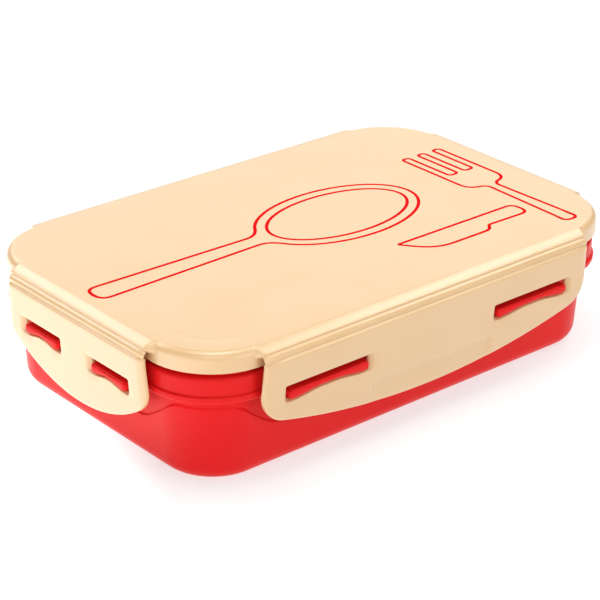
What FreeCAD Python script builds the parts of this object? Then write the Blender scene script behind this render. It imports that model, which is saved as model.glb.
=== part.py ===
"""A lunch box: a drafted tub with eight snap tabs, and a lid with four locking flaps on living hinges.

Millimetres, +Z up. The origin is the middle of the underside, +X runs along the long side.
An "inset" is a distance in from the lid's rim outline, and a "reach" is a distance out from it.
"""

import FreeCAD, Part
import math
import os

import Sketcher
from FreeCAD import Placement, Rotation, Vector

SIZES = {
    # lid rim outline and overall height
    "lid_length": 204.0,
    "lid_width": 130.0,
    "lid_corner": 26.4,
    "overall_height": 52.0,
    "rim_depth": 7.8,
    "rim_roll": 2.4,
    "rim_edge_round": 0.6,
    # lid underside
    "plate_thickness": 2.2,
    "skirt_thickness": 2.0,
    "skirt_root_round": 1.2,
    "plug_outer_inset": 6.2,
    "plug_inner_inset": 8.2,
    "plug_bottom": 41.0,
    "plug_edge_round": 0.6,
    "shoulder_run": 6.0,
    # seal
    "seal_clearance": 0.05,
    "seal_height": 2.9,
    "seal_round": 0.7,
    # container
    "base_inset": 6.0,
    "wall_draft": 3.3,
    "wall_thickness": 2.0,
    "floor_thickness": 2.4,
    "base_round": 6.0,
    "floor_round": 4.0,
    "foot_inset": 17.0,
    "foot_recess": 0.6,
    "bead_bottom": 32.5,
    "bead_depth": 2.8,
    "bead_inset": 0.2,
    "bead_round": 0.5,
    "collar_inset": 1.0,
    "collar_top": 42.2,
    "collar_round": 1.2,
    "collar_thickness": 1.4,
    "collar_roof": 1.8,
    "channel_inset": 3.7,
    "lip_inset": 3.2,
    "mouth_inset": 5.3,
    "lip_top": 46.8,
    "lip_round": 0.7,
    # snap tabs
    "tab_bottom": 30.4,
    "tab_depth": 3.2,
    "tab_reach": 4.3,
    "tab_end_round": 1.3,
    "tab_nose_round": 0.9,
    "tab_arch_rise": 0.8,
    "tab_arch_margin": 4.0,
    "long_tab_centre": 49.0,
    "long_tab_half": 17.9,
    "short_tab_centre": 19.8,
    "short_tab_half": 10.0,
    # flaps and hinges; a height on a flap is measured along its leaning plate
    "flap_reach": 4.9,
    "flap_lean": 4.0,
    "flap_thickness": 2.4,
    "flap_edge_round": 1.1,
    "shoulder_inset": 2.0,
    "hinge_low_angle": 14.0,
    "hinge_high_angle": 43.0,
    "web_sink": 0.4,
    "web_thickness": 0.9,
    "slot_bottom": 30.3,
    "slot_top": 36.0,
    "slot_round": 1.0,
    "slot_end_gap": 0.7,
    "dish_margin": 0.9,
    "dish_slope": 45.0,
    "long_flap_half": 77.8,
    "long_flap_bottom": 14.6,
    "long_flap_curve": 277.0,
    "long_flap_corner": 12.0,
    "short_flap_half": 40.3,
    "short_flap_bottom": 14.4,
    "short_flap_curve": 62.0,
    "short_flap_corner": 9.5,
    # finger grip, a scoop in the middle of a long flap's lower edge
    "grip_half": 30.0,
    "grip_top": 24.4,
    "grip_foot": 13.5,
    "grip_depth": 1.1,
}

doc = FreeCAD.newDocument("lunch_box")


class Size:
    """A number together with the spreadsheet formula that gives it."""

    def __init__(self, number, formula):
        self.number = number
        self.formula = formula

    def _join(self, other, sign, number):
        formula = other.formula if isinstance(other, Size) else repr(other)
        return Size(number, f"({self.formula} {sign} {formula})")

    def __add__(self, other):
        return self._join(other, "+", self.number + number_of(other))

    def __sub__(self, other):
        return self._join(other, "-", self.number - number_of(other))

    def __mul__(self, other):
        return self._join(other, "*", self.number * number_of(other))

    def __truediv__(self, other):
        return self._join(other, "/", self.number / number_of(other))

    def __neg__(self):
        return Size(-self.number, f"(-1 * {self.formula})")


def number_of(value):
    return value.number if isinstance(value, Size) else value


def sine(angle):
    return Size(math.sin(math.radians(angle.number)), f"sin({angle.formula} * 1deg)")


def cosine(angle):
    return Size(math.cos(math.radians(angle.number)), f"cos({angle.formula} * 1deg)")


class Sheet:
    """The driving dimensions, each one a Size by its own name."""

    def __init__(self, sizes):
        self.table = doc.addObject("Spreadsheet::Sheet", "sizes")
        for row, (name, number) in enumerate(sizes.items(), start=1):
            self.table.set(f"A{row}", name)
            self.table.set(f"B{row}", str(number))
            self.table.setAlias(f"B{row}", name)
            setattr(self, name, Size(number, f"sizes.{name}"))


S = Sheet(SIZES)
doc.recompute()

HALF_LENGTH = S.lid_length / 2
HALF_WIDTH = S.lid_width / 2
RIM_BOTTOM = S.overall_height - S.rim_depth
PLATE_BOTTOM = S.overall_height - S.plate_thickness
TURN_OUTER = S.flap_reach + S.shoulder_inset
TURN_INNER = TURN_OUTER - S.flap_thickness
TURN_HEIGHT = S.overall_height - TURN_OUTER
ZERO = Size(0.0, "0")
LEVEL = 1e-3


def bind(item, name, size):
    item.setExpression(name, size.formula)


# ---------------------------------------------------------------- sketches


def new_body(label):
    body = doc.addObject("PartDesign::Body", label)
    body.Label = label
    return body


def sketch_on(body, name, role, offset=None):
    """A sketch on one of the body's own origin planes, moved along its normal."""
    sketch = body.newObject("Sketcher::SketchObject", f"{body.Name}_{name}")
    plane = [feature for feature in body.Origin.OriginFeatures if feature.Role == role][0]
    sketch.AttachmentSupport = [(plane, "")]
    sketch.MapMode = "FlatFace"
    if offset is not None:
        bind(sketch, "AttachmentOffset.Base.z", offset)
    return sketch


def drive(sketch, constraint, size, label):
    """Adds a constraint whose value follows the spreadsheet."""
    index = sketch.addConstraint(constraint)
    sketch.renameConstraint(index, label)
    sketch.setExpression(f"Constraints.{label}", size.formula)


def fix_coordinate(sketch, direction, geometry, point, size, label):
    """Holds a point at a signed distance from the sketch's origin, along X or Y."""
    kind = f"Distance{direction}"
    if size.number < 0:
        constraint = Sketcher.Constraint(kind, geometry, point, -1, 1, -size.number)
        drive(sketch, constraint, -size, label)
    else:
        constraint = Sketcher.Constraint(kind, -1, 1, geometry, point, size.number)
        drive(sketch, constraint, size, label)


def line(sketch, start, end):
    segment = Part.LineSegment(Vector(*start, 0), Vector(*end, 0))
    return sketch.addGeometry(segment, False)


def arc(sketch, centre, radius, start_degrees, end_degrees):
    circle = Part.Circle(Vector(*centre, 0), Vector(0, 0, 1), radius)
    piece = Part.ArcOfCircle(circle, math.radians(start_degrees), math.radians(end_degrees))
    return sketch.addGeometry(piece, False)


def rounded_rectangle(sketch, left, right, bottom, top, radius, label):
    """Four lines and four tangent arcs, held by their four sides and one radius."""
    x0, x1, y0, y1, r = (size.number for size in (left, right, bottom, top, radius))
    lines = [
        line(sketch, (x0 + r, y0), (x1 - r, y0)),
        line(sketch, (x1, y0 + r), (x1, y1 - r)),
        line(sketch, (x1 - r, y1), (x0 + r, y1)),
        line(sketch, (x0, y1 - r), (x0, y0 + r)),
    ]
    arcs = [
        arc(sketch, (x1 - r, y0 + r), r, -90, 0),
        arc(sketch, (x1 - r, y1 - r), r, 0, 90),
        arc(sketch, (x0 + r, y1 - r), r, 90, 180),
        arc(sketch, (x0 + r, y0 + r), r, 180, 270),
    ]
    for corner in range(4):
        sketch.addConstraint(Sketcher.Constraint("Tangent", lines[corner], 2, arcs[corner], 1))
        following = lines[(corner + 1) % 4]
        sketch.addConstraint(Sketcher.Constraint("Tangent", arcs[corner], 2, following, 1))
        if corner:
            sketch.addConstraint(Sketcher.Constraint("Equal", arcs[0], arcs[corner]))
    hold_sides(sketch, lines, left, right, bottom, top, label)
    drive(sketch, Sketcher.Constraint("Radius", arcs[0], r), radius, f"{label}_radius")


def rectangle(sketch, left, right, bottom, top, label):
    """Four lines with sharp corners, held by their four sides."""
    x0, x1, y0, y1 = (size.number for size in (left, right, bottom, top))
    corners = [(x0, y0), (x1, y0), (x1, y1), (x0, y1)]
    lines = [line(sketch, corners[n], corners[(n + 1) % 4]) for n in range(4)]
    for n in range(4):
        sketch.addConstraint(Sketcher.Constraint("Coincident", lines[n], 2, lines[(n + 1) % 4], 1))
    hold_sides(sketch, lines, left, right, bottom, top, label)


def hold_sides(sketch, lines, left, right, bottom, top, label):
    """Makes the lines of a rectangle level or upright, and places each one."""
    for level in (lines[0], lines[2]):
        sketch.addConstraint(Sketcher.Constraint("Horizontal", level))
    for upright in (lines[1], lines[3]):
        sketch.addConstraint(Sketcher.Constraint("Vertical", upright))
    fix_coordinate(sketch, "Y", lines[0], 1, bottom, f"{label}_bottom")
    fix_coordinate(sketch, "X", lines[1], 1, right, f"{label}_right")
    fix_coordinate(sketch, "Y", lines[2], 1, top, f"{label}_top")
    fix_coordinate(sketch, "X", lines[3], 1, left, f"{label}_left")


def plan_outline(sketch, inset, label="outline"):
    """The lid's rim outline, drawn in by an inset."""
    long_side = HALF_LENGTH - inset
    short_side = HALF_WIDTH - inset
    corner = S.lid_corner - inset
    rounded_rectangle(sketch, -long_side, long_side, -short_side, short_side, corner, label)


def sector(sketch, centre, inner, outer, low_angle, high_angle, outward, label):
    """A ring sector between two angles above the horizontal, opening towards outward (-1 or 1)."""
    cx, cy = centre[0].number, centre[1].number
    low, high = low_angle.number, high_angle.number

    def spot(radius, degrees):
        turn = math.radians(degrees)
        return (cx + outward * radius * math.cos(turn), cy + radius * math.sin(turn))

    start, end = (low, high) if outward > 0 else (180 - high, 180 - low)
    arcs = [arc(sketch, (cx, cy), radius.number, start, end) for radius in (inner, outer)]
    low_end, high_end = (1, 2) if outward > 0 else (2, 1)
    sides = []
    for degrees, end_point in ((low, low_end), (high, high_end)):
        side = line(sketch, spot(inner.number, degrees), spot(outer.number, degrees))
        sketch.addConstraint(Sketcher.Constraint("Coincident", side, 1, arcs[0], end_point))
        sketch.addConstraint(Sketcher.Constraint("Coincident", side, 2, arcs[1], end_point))
        sketch.addConstraint(Sketcher.Constraint("PointOnObject", arcs[0], 3, side))
        sides.append(side)
    sketch.addConstraint(Sketcher.Constraint("Coincident", arcs[0], 3, arcs[1], 3))
    fix_coordinate(sketch, "X", arcs[0], 3, centre[0], f"{label}_centre_x")
    fix_coordinate(sketch, "Y", arcs[0], 3, centre[1], f"{label}_centre_y")
    drive(sketch, Sketcher.Constraint("Radius", arcs[0], inner.number), inner, f"{label}_inner")
    drive(sketch, Sketcher.Constraint("Radius", arcs[1], outer.number), outer, f"{label}_outer")
    for side, angle, name in ((sides[0], low_angle, "low"), (sides[1], high_angle, "high")):
        if angle.number == 0:
            sketch.addConstraint(Sketcher.Constraint("Horizontal", side))
        elif angle.number == 90:
            sketch.addConstraint(Sketcher.Constraint("Vertical", side))
        else:
            hold_slope(sketch, side, angle, outward, f"{label}_{name}")


def hold_slope(sketch, side, angle, outward, label):
    """Holds a line at an angle above the horizontal, measured from the way it opens."""
    turned = angle if outward > 0 else -angle + 180
    radians = math.radians(turned.number)
    index = sketch.addConstraint(Sketcher.Constraint("Angle", side, radians))
    sketch.renameConstraint(index, label)
    sketch.setExpression(f"Constraints.{label}", f"{turned.formula} * 1deg")


# ---------------------------------------------------------------- features


def feature(body, kind, name, sketch, length, taper=None, reverse=False, middle=False):
    """A pad or pocket of a sketch, with its length and taper driven by the sheet."""
    doc.recompute()
    made = body.newObject(f"PartDesign::{kind}", f"{body.Name}_{name}")
    made.Profile = sketch
    made.Reversed = reverse
    if middle:
        made.Midplane = True
    bind(made, "Length", length)
    if taper is not None:
        bind(made, "TaperAngle", taper)
    sketch.Visibility = False
    doc.recompute()
    return made


def volume_of(body):
    return 0.0 if body.Shape.isNull() else body.Shape.Volume


def pad(body, name, sketch, length, **options):
    before = volume_of(body)
    made = feature(body, "Pad", name, sketch, length, **options)
    require(volume_of(body) > before, f"{made.Name} added nothing")
    return made


def pocket(body, name, sketch, length, **options):
    before = volume_of(body)
    made = feature(body, "Pocket", name, sketch, length, **options)
    require(volume_of(body) < before, f"{made.Name} cut nothing")
    return made


def round_edges(body, name, chosen, radius):
    """A fillet on every edge of the body that chosen(edge) picks."""
    base = body.Tip
    edges = [f"Edge{n}" for n, edge in enumerate(base.Shape.Edges, start=1) if chosen(edge)]
    require(edges, f"{name} found no edge")
    made = body.newObject("PartDesign::Fillet", f"{body.Name}_{name}")
    made.Base = (base, edges)
    bind(made, "Radius", radius)
    doc.recompute()
    return made


def require(condition, message):
    if not condition:
        raise RuntimeError(message)


def rim_loop(height, inset):
    """Picks the level edges, at a height, of the rim outline drawn in by an inset."""
    side_x = HALF_LENGTH.number - inset
    side_y = HALF_WIDTH.number - inset

    def chosen(edge):
        box = edge.BoundBox
        level = abs(box.ZMin - height) < LEVEL and abs(box.ZMax - height) < LEVEL
        ends = [(abs(vertex.Point.x), abs(vertex.Point.y)) for vertex in edge.Vertexes]
        return level and all(abs(x - side_x) < LEVEL or abs(y - side_y) < LEVEL for x, y in ends)

    return chosen


# ---------------------------------------------------------------- container


def make_container():
    """The tub: drafted wall, bead, collar, sealing lip, cavity, hollow collar and foot recess."""
    body = new_body("container")

    tub = sketch_on(body, "tub_outline", "XY_Plane")
    plan_outline(tub, S.base_inset)
    pad(body, "tub", tub, S.bead_bottom, taper=S.wall_draft)

    collar_bottom = S.bead_bottom + S.bead_depth
    bands = [
        ("bead", S.bead_inset, S.bead_bottom, S.bead_depth),
        ("collar", S.collar_inset, collar_bottom, S.collar_top - collar_bottom),
        ("lip", S.lip_inset, S.collar_top, S.lip_top - S.collar_top),
    ]
    for name, inset, bottom, depth in bands:
        band = sketch_on(body, f"{name}_outline", "XY_Plane", bottom)
        plan_outline(band, inset)
        pad(body, name, band, depth)

    mouth = sketch_on(body, "mouth_outline", "XY_Plane", S.lip_top)
    plan_outline(mouth, S.mouth_inset)
    pocket(body, "cavity", mouth, S.lip_top - S.floor_thickness, taper=-S.wall_draft)

    channel = sketch_on(body, "channel_outline", "XY_Plane", S.bead_bottom)
    plan_outline(channel, S.collar_inset + S.collar_thickness, "outer")
    plan_outline(channel, S.channel_inset, "inner")
    channel_depth = S.collar_top - S.collar_roof - S.bead_bottom
    pocket(body, "channel", channel, channel_depth, reverse=True)

    foot = sketch_on(body, "foot_outline", "XY_Plane")
    plan_outline(foot, S.foot_inset)
    pocket(body, "foot_recess", foot, S.foot_recess, reverse=True)

    round_edges(body, "base_edge", rim_loop(0, S.base_inset.number), S.base_round)
    floor = S.floor_thickness.number
    round_edges(body, "floor_edge", floor_loop(floor), S.floor_round)
    round_edges(body, "collar_edge", rim_loop(S.collar_top.number, S.collar_inset.number), S.collar_round)
    round_edges(body, "lip_edge", rim_loop(S.lip_top.number, S.lip_inset.number), S.lip_round)
    round_edges(body, "mouth_edge", rim_loop(S.lip_top.number, S.mouth_inset.number), S.lip_round)
    for height in (S.bead_bottom.number, collar_bottom.number):
        round_edges(body, f"bead_edge_{height:.0f}", rim_loop(height, S.bead_inset.number), S.bead_round)
    return body


def floor_loop(height):
    """Picks the level edges of the cavity at the height of its floor."""

    def chosen(edge):
        box = edge.BoundBox
        return abs(box.ZMin - height) < LEVEL and abs(box.ZMax - height) < LEVEL

    return chosen


def make_snap_tab(label, prefix, side, end):
    """One snap tab in its side's frame: it stands out from the bead, with an arched underside."""
    half = getattr(S, f"{prefix}_tab_half")
    centre = getattr(S, f"{prefix}_tab_centre") * end
    body = new_body(label)

    face = sketch_on(body, "face", "XZ_Plane", -S.bead_inset)
    top = S.tab_bottom + S.tab_depth
    rounded_rectangle(face, centre - half, centre + half, S.tab_bottom, top, S.tab_end_round, "face")
    pad(body, "bar", face, S.tab_reach + S.bead_inset)

    chord = half - S.tab_arch_margin
    radius = (chord * chord + S.tab_arch_rise * S.tab_arch_rise) / (S.tab_arch_rise * 2)
    under = sketch_on(body, "arch", "XZ_Plane", S.tab_reach)
    circle = Part.Circle(Vector(centre.number, 0, 0), Vector(0, 0, 1), radius.number)
    ring = under.addGeometry(circle, False)
    fix_coordinate(under, "X", ring, 3, centre, "centre_x")
    fix_coordinate(under, "Y", ring, 3, S.tab_bottom + S.tab_arch_rise - radius, "centre_z")
    drive(under, Sketcher.Constraint("Radius", ring, radius.number), radius, "radius")
    pocket(body, "arch_cut", under, S.tab_reach + S.bead_inset)

    nose = -S.tab_reach.number

    def at_nose(edge):
        return abs(edge.BoundBox.YMin - nose) < LEVEL and abs(edge.BoundBox.YMax - nose) < LEVEL

    round_edges(body, "nose", at_nose, S.tab_nose_round)
    place_on_side(body, side)
    return body


# ---------------------------------------------------------------- lid


def make_lid():
    """Plate, rolled edge, skirt, plug ring, and the four shoulders that carry the hinges."""
    body = new_body("lid")

    rim = sketch_on(body, "rim_outline", "XY_Plane", RIM_BOTTOM)
    plan_outline(rim, ZERO)
    pad(body, "rim", rim, S.rim_depth)
    round_edges(body, "rim_roll", rim_loop(S.overall_height.number, 0), S.rim_roll)
    round_edges(body, "rim_edge", rim_loop(RIM_BOTTOM.number, 0), S.rim_edge_round)

    for name, prefix, role, outward in SHOULDERS:
        shoulder = sketch_on(body, f"{name}_shoulder", role)
        reach = HALF_WIDTH if prefix == "long" else HALF_LENGTH
        centre = ((reach - S.shoulder_inset) * outward, TURN_HEIGHT)
        high = Size(90, "90")
        sector(shoulder, centre, TURN_INNER, TURN_OUTER, S.hinge_high_angle, high, outward, "turn")
        width = getattr(S, f"{prefix}_flap_half") * 2
        pad(body, f"{name}_shoulder_turn", shoulder, width, middle=True)
        slab = sketch_on(body, f"{name}_slab", role)
        ends = sorted((centre[0], centre[0] - S.shoulder_run * outward), key=number_of)
        bottom = TURN_HEIGHT + TURN_INNER
        rectangle(slab, ends[0], ends[1], bottom, S.overall_height, "slab")
        pad(body, f"{name}_shoulder_slab", slab, width, middle=True)

    hollow = sketch_on(body, "hollow_outline", "XY_Plane", RIM_BOTTOM)
    plan_outline(hollow, S.skirt_thickness)
    pocket(body, "hollow", hollow, PLATE_BOTTOM - RIM_BOTTOM, reverse=True)

    plug = sketch_on(body, "plug_outline", "XY_Plane", S.plug_bottom)
    plan_outline(plug, S.plug_outer_inset, "outer")
    plan_outline(plug, S.plug_inner_inset, "inner")
    pad(body, "plug", plug, PLATE_BOTTOM - S.plug_bottom + S.plate_thickness / 2)

    bottom = S.plug_bottom.number
    for inset in (S.plug_outer_inset.number, S.plug_inner_inset.number):
        round_edges(body, f"plug_edge_{inset:.0f}", rim_loop(bottom, inset), S.plug_edge_round)
    skirt = rim_loop(PLATE_BOTTOM.number, S.skirt_thickness.number)
    round_edges(body, "skirt_root", skirt, S.skirt_root_round)
    return body


def make_seal():
    """The soft ring that fills the top of the lid's groove, above the container's lip."""
    body = new_body("seal")
    top = PLATE_BOTTOM - S.seal_clearance
    ring = sketch_on(body, "ring_outline", "XY_Plane", top - S.seal_height)
    plan_outline(ring, S.skirt_thickness + S.skirt_root_round, "outer")
    plan_outline(ring, S.plug_outer_inset - S.seal_clearance, "inner")
    pad(body, "ring", ring, S.seal_height)
    return body


def make_hinge_web(label, prefix, side):
    """The thin strip that joins a flap to the lid, a little below the surfaces on both sides."""
    body = new_body(label)
    half = getattr(S, f"{prefix}_flap_half")
    strip = sketch_on(body, "strip", "YZ_Plane")
    outer = TURN_OUTER - S.web_sink
    centre = (S.shoulder_inset, TURN_HEIGHT)
    low, high = S.hinge_low_angle, S.hinge_high_angle
    sector(strip, centre, outer - S.web_thickness, outer, low, high, -1, "strip")
    pad(body, "web", strip, half * 2, middle=True)
    place_on_side(body, side)
    return body


# ---------------------------------------------------------------- flaps


def flap_outline(sketch, prefix):
    """The flap seen from outside: upright sides, and a bowed lower edge between rounded corners."""
    half = getattr(S, f"{prefix}_flap_half")
    bottom = getattr(S, f"{prefix}_flap_bottom")
    curve = getattr(S, f"{prefix}_flap_curve")
    corner = getattr(S, f"{prefix}_flap_corner")
    w, r, big = half.number, corner.number, curve.number
    top = TURN_HEIGHT.number
    big_z = bottom.number + big
    corner_z = big_z - math.sqrt((big - r) ** 2 - (w - r) ** 2)
    spread = math.degrees(math.asin((w - r) / (big - r)))

    level = line(sketch, (w, top), (-w, top))
    left = line(sketch, (-w, top), (-w, corner_z))
    left_corner = arc(sketch, (-w + r, corner_z), r, 180, 270 - spread)
    bow = arc(sketch, (0, big_z), big, 270 - spread, 270 + spread)
    right_corner = arc(sketch, (w - r, corner_z), r, 270 + spread, 360)
    right = line(sketch, (w, corner_z), (w, top))
    joints = [
        ("Coincident", level, 2, left, 1),
        ("Tangent", left, 2, left_corner, 1),
        ("Tangent", left_corner, 2, bow, 1),
        ("Tangent", bow, 2, right_corner, 1),
        ("Tangent", right_corner, 2, right, 1),
        ("Coincident", right, 2, level, 1),
        ("Horizontal", level),
        ("Vertical", left),
        ("Vertical", right),
        ("Equal", left_corner, right_corner),
        ("PointOnObject", bow, 3, -2),
    ]
    for joint in joints:
        sketch.addConstraint(Sketcher.Constraint(*joint))
    fix_coordinate(sketch, "Y", level, 1, TURN_HEIGHT, "top")
    fix_coordinate(sketch, "X", left, 1, -half, "left")
    fix_coordinate(sketch, "X", right, 1, half, "right")
    fix_coordinate(sketch, "Y", bow, 3, bottom + curve, "bow_centre")
    drive(sketch, Sketcher.Constraint("Radius", bow, big), curve, "bow_radius")
    drive(sketch, Sketcher.Constraint("Radius", left_corner, r), corner, "corner_radius")


def plate_sketch(body, name, radius):
    """A sketch on a flap's leaning plane, which touches the hinge turn of that radius."""
    sketch = sketch_on(body, name, "XZ_Plane")
    outward, upward = plate_foot(radius)
    lean_sketch(sketch, Vector(1, 0, 0), {"y": upward, "z": outward})
    return sketch


def plate_section_sketch(body, name):
    """A sketch across a flap, with its origin at the foot of the plate's outer face."""
    sketch = sketch_on(body, name, "YZ_Plane")
    outward, upward = plate_foot(TURN_OUTER)
    lean_sketch(sketch, Vector(0, 0, 1), {"x": -outward, "y": upward})
    return sketch


def plate_foot(radius):
    """Where a leaning plane's own height is zero: its reach, and its height on the box."""
    outward = cosine(S.flap_lean) * radius - S.shoulder_inset - sine(S.flap_lean) * TURN_HEIGHT
    upward = TURN_HEIGHT - cosine(S.flap_lean) * TURN_HEIGHT - sine(S.flap_lean) * radius
    return outward, upward


def lean_sketch(sketch, axis, base):
    """Turns a sketch about an axis of its own by the flaps' lean, and moves its origin."""
    sketch.AttachmentOffset = Placement(Vector(), Rotation(axis, S.flap_lean.number))
    bind(sketch, "AttachmentOffset.Rotation.Angle", Size(S.flap_lean.number, f"{S.flap_lean.formula} * 1deg"))
    for name, size in base.items():
        bind(sketch, f"AttachmentOffset.Base.{name}", size)


def front_edge():
    """Picks the edges round a plate's outer face, all but the one at the hinge turn."""
    lean = math.radians(S.flap_lean.number)
    normal = Vector(0, -math.cos(lean), -math.sin(lean))
    upward = Vector(0, -math.sin(lean), math.cos(lean))
    turn_centre = Vector(0, S.shoulder_inset.number, TURN_HEIGHT.number)

    def chosen(edge):
        spots = [vertex.Point - turn_centre for vertex in edge.Vertexes]
        spots.append(edge.valueAt(sum(edge.ParameterRange) / 2) - turn_centre)
        on_face = all(abs(spot.dot(normal) - TURN_OUTER.number) < LEVEL for spot in spots)
        at_turn = all(abs(spot.dot(upward)) < LEVEL for spot in spots)
        return on_face and not at_turn

    return chosen


def scoop_grip(body):
    """Cuts the finger grip: deep under its upper edge, and level with the face at the flap's foot."""
    profile = plate_section_sketch(body, "grip_profile")
    top, foot, depth = S.grip_top.number, S.grip_foot.number, S.grip_depth.number
    ledge = line(profile, (0, top), (depth, top))
    slope = line(profile, (depth, top), (0, foot))
    face = line(profile, (0, foot), (0, top))
    for first, second in ((ledge, slope), (slope, face), (face, ledge)):
        profile.addConstraint(Sketcher.Constraint("Coincident", first, 2, second, 1))
    profile.addConstraint(Sketcher.Constraint("Horizontal", ledge))
    profile.addConstraint(Sketcher.Constraint("PointOnObject", ledge, 1, -2))
    profile.addConstraint(Sketcher.Constraint("PointOnObject", slope, 2, -2))
    fix_coordinate(profile, "Y", ledge, 1, S.grip_top, "top")
    fix_coordinate(profile, "Y", slope, 2, S.grip_foot, "foot")
    fix_coordinate(profile, "X", ledge, 2, S.grip_depth, "depth")
    pocket(body, "grip", profile, S.grip_half * 2, middle=True)


def make_flap(label, prefix, side):
    """A locking flap in its side's frame: a plate with two dished slots, turned in at the hinge."""
    body = new_body(label)
    plate = plate_sketch(body, "plate_outline", TURN_INNER)
    flap_outline(plate, prefix)
    pad(body, "plate", plate, S.flap_thickness)

    turn = sketch_on(body, "turn_profile", "YZ_Plane")
    centre = (S.shoulder_inset, TURN_HEIGHT)
    sector(turn, centre, TURN_INNER, TURN_OUTER, -S.flap_lean, S.hinge_low_angle, -1, "turn")
    pad(body, "turn", turn, getattr(S, f"{prefix}_flap_half") * 2, middle=True)

    round_edges(body, "front_edge", front_edge(), S.flap_edge_round)
    if prefix == "long":
        scoop_grip(body)

    half = getattr(S, f"{prefix}_tab_half") + S.slot_end_gap
    centre = getattr(S, f"{prefix}_tab_centre")
    for name, end in (("left", -1), ("right", 1)):
        middle = centre * end
        dish = plate_sketch(body, f"{name}_dish", TURN_OUTER)
        margin = S.dish_margin
        left, right = middle - half - margin, middle + half + margin
        rectangle(dish, left, right, S.slot_bottom - margin, S.slot_top + margin, "dish")
        pocket(body, f"{name}_dish_cut", dish, margin, taper=-S.dish_slope)
        slot = plate_sketch(body, f"{name}_slot", TURN_OUTER)
        left, right = middle - half, middle + half
        rounded_rectangle(slot, left, right, S.slot_bottom, S.slot_top, S.slot_round, "slot")
        pocket(body, f"{name}_slot_cut", slot, S.flap_thickness)
    place_on_side(body, side)
    return body


# ---------------------------------------------------------------- assembly


def place_on_side(body, side):
    """Moves a body from its side's own frame, where it faces -Y, to its place on the box."""
    turn, distance = side
    rotation = Rotation(Vector(0, 0, 1), turn)
    body.Placement = Placement(rotation.multVec(Vector(0, -distance.number, 0)), rotation)


SIDES = {
    "front": ("long", (0, HALF_WIDTH)),
    "back": ("long", (180, HALF_WIDTH)),
    "right": ("short", (90, HALF_LENGTH)),
    "left": ("short", (270, HALF_LENGTH)),
}
SHOULDERS = [
    ("front", "long", "YZ_Plane", -1),
    ("back", "long", "YZ_Plane", 1),
    ("right", "short", "XZ_Plane", 1),
    ("left", "short", "XZ_Plane", -1),
]

parts = [make_container(), make_lid(), make_seal()]
for side_name, (side_prefix, side_place) in SIDES.items():
    parts.append(make_flap(f"flap_{side_name}", side_prefix, side_place))
    parts.append(make_hinge_web(f"hinge_web_{side_name}", side_prefix, side_place))
    for end_number, end_sign in ((1, -1), (2, 1)):
        parts.append(make_snap_tab(f"snap_tab_{side_name}_{end_number}", side_prefix, side_place, end_sign))
doc.recompute()

for item in doc.Objects:
    require(not {"Invalid", "Error"} & set(item.State), f"{item.Name} failed: {item.State}")
for part in parts:
    require(not part.Shape.isNull() and part.Shape.isValid(), f"{part.Label} has a bad shape")
    require(len(part.Shape.Solids) == 1, f"{part.Label} is not one solid")

os.makedirs("parts", exist_ok=True)
for part in parts:
    part.Shape.exportStep(f"parts/{part.Label}.step")
    box = part.Shape.BoundBox
    print(f"{part.Label}: {part.Shape.Volume:.0f} mm3, {box.XLength:.1f} x {box.YLength:.1f} x {box.ZLength:.1f}")
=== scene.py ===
"""Looks of the lunch box: smooth moulded shells, satin plastics and the print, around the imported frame.

Lengths are millimetres and angles degrees, turned into metres and radians where Blender needs them.
A "reach" is a distance out from the lid's rim outline, an "inset" is a distance in from it.
"""

import math

import bmesh
import bpy
from mathutils import Matrix, Vector
from mathutils.geometry import delaunay_2d_cdt


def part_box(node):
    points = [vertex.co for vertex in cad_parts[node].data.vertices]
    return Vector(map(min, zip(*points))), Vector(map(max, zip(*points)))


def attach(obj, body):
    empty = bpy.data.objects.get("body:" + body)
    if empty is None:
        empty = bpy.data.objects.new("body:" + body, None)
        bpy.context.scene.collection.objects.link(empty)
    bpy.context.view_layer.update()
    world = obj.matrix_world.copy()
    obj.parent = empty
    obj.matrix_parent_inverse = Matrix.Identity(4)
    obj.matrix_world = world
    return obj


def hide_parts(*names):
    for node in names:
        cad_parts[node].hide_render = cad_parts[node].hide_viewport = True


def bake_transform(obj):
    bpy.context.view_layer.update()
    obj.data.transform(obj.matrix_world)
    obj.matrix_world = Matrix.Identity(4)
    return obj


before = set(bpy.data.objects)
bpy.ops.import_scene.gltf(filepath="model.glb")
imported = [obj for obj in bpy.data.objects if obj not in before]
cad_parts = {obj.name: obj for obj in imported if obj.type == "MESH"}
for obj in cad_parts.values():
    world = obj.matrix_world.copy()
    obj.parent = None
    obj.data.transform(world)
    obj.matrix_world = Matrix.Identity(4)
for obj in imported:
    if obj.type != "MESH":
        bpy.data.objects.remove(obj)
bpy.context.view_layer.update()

MM = 0.001
WELD = 1e-6
SHARP_ANGLE = 35.0


def in_mm(node):
    """A CAD node's lowest and highest corners, in millimetres."""
    low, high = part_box(node)
    return low / MM, high / MM


CONTAINER_HIGH = in_mm("container")[1]
LID_LOW, LID_HIGH = in_mm("lid")
FLAP_BOX = {"long": in_mm("flap_front"), "short": in_mm("flap_right")}
TAB_BOX = {"long": in_mm("snap_tab_front_2"), "short": in_mm("snap_tab_right_2")}

# the rim outline that every piece follows, and the heights of the container and the lid
BEAD_INSET = 0.2
HALF_X = CONTAINER_HIGH.x + BEAD_INSET
HALF_Y = CONTAINER_HIGH.y + BEAD_INSET
CORNER = 26.4
LID_TOP = LID_HIGH.z
PLUG_BOTTOM = LID_LOW.z
LIP_TOP = CONTAINER_HIGH.z
RIM_DEPTH = 7.8
RIM_BOTTOM = LID_TOP - RIM_DEPTH
PLATE = 2.2
PLATE_BOTTOM = LID_TOP - PLATE
SURFACE_SINK = 0.03
SURFACE = LID_TOP - SURFACE_SINK

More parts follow.
